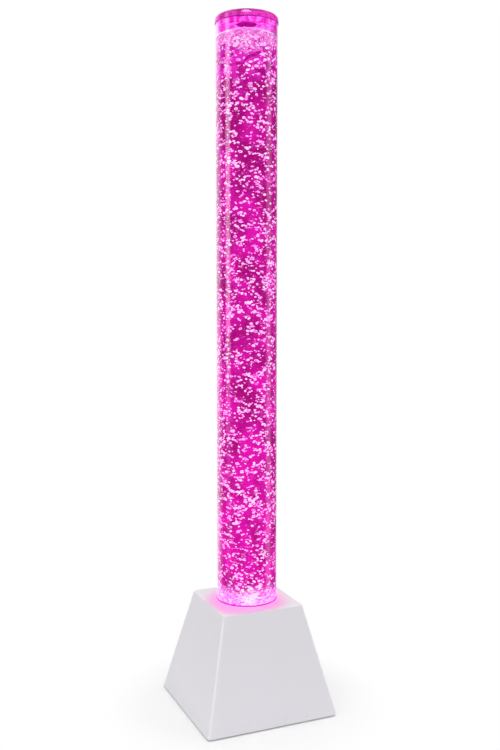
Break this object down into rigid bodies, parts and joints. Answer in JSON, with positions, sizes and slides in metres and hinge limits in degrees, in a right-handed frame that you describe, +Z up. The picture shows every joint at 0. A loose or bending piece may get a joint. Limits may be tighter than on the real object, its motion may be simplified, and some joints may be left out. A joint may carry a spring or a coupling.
{
  "type": "bubble tube floor lamp",
  "caption": "Floor lamp: a tall clear tube of lit, bubbling water with a lift-off cap, on a truncated pyramid base that holds the air pump and the lights.",
  "frame": {"origin": "middle of the footprint, on the floor", "axes": "+Z up along the tube; -Y is the base's front face, and the power inlet and the button are on the rear face, +Y"},
  "size_m": [0.25, 0.25, 1.25],
  "materials": {
    "base_white": "satin white moulded plastic",
    "cover_grey": "fine matt",
    "inner_white": "moulded",
    "dark_plastic": "fine matt",
    "clear_acrylic": "clear, polished",
    "water": "lit magenta water full of air bubbles",
    "light": "lit",
    "rubber": "matt",
    "hose": "translucent silicone",
    "steel": "bright zinc",
    "brass": "nickel-free brass",
    "magnet": "sintered",
    "copper": "enamelled wire",
    "board_green": "solder mask",
    "board_white": "white solder mask",
    "lead": "PVC sleeve"
  },
  "bodies": {
    "lamp": {"base_shell": "base_white", "base_plate": "cover_grey", "base_screws": "steel", "feet": "rubber", "tube_seal": "rubber", "tube_socket": "inner_white", "socket_gasket": "rubber", "socket_screws": "steel", "acrylic_tube": "clear_acrylic", "tube_floor": "clear_acrylic", "air_disc": "clear_acrylic", "inlet_fitting": "brass", "inlet_washer": "rubber", "inlet_nut": "brass", "water": "water", "light_board": "board_white", "lights": "light", "light_screws": "steel", "pump_housing": "dark_plastic", "pump_cover": "dark_plastic", "pump_screws": "steel", "pump_mounts": "rubber", "pump_core": "steel", "coil_bobbin": "cover_grey", "coil_winding": "copper", "pivot_pin": "steel", "diaphragm": "rubber", "valve_box": "cover_grey", "valve_flaps": "rubber", "hose_lower": "hose", "check_valve_lower": "inner_white", "check_flap": "rubber", "check_valve_upper": "cover_grey", "hose_upper": "hose", "control_board": "board_green", "board_parts": "dark_plastic", "board_screws": "steel", "power_inlet": "dark_plastic", "inlet_pin": "steel", "power_inlet_nut": "steel", "button_bezel": "dark_plastic", "button_nut": "steel", "switch_body": "dark_plastic", "light_lead": "lead", "pump_lead": "lead", "inlet_lead": "lead", "button_lead": "lead"},
    "cap": {"top_cap": "clear_acrylic"},
    "button": {"button_cap": "cover_grey"},
    "pump_arm": {"swing_arm": "steel", "arm_magnet": "magnet"}
  },
  "joints": [
    {"name": "cap_lift", "type": "slide", "parent": "lamp", "child": "cap", "axis": [0, 0, 1], "range_m": [0, 0.06]},
    {"name": "button_press", "type": "slide", "parent": "lamp", "child": "button", "axis": [0, -0.972, -0.235], "range_m": [0, 0.0015], "stiffness_N_per_m": 400},
    {"name": "arm_swing", "type": "hinge", "parent": "lamp", "child": "pump_arm", "pos_m": [-0.0285, -0.039, 0.035], "axis": [0, 0, 1], "range_deg": [-1.5, 1.5], "stiffness_Nm_per_rad": 0.5, "deforming": ["diaphragm"]}
  ]
}
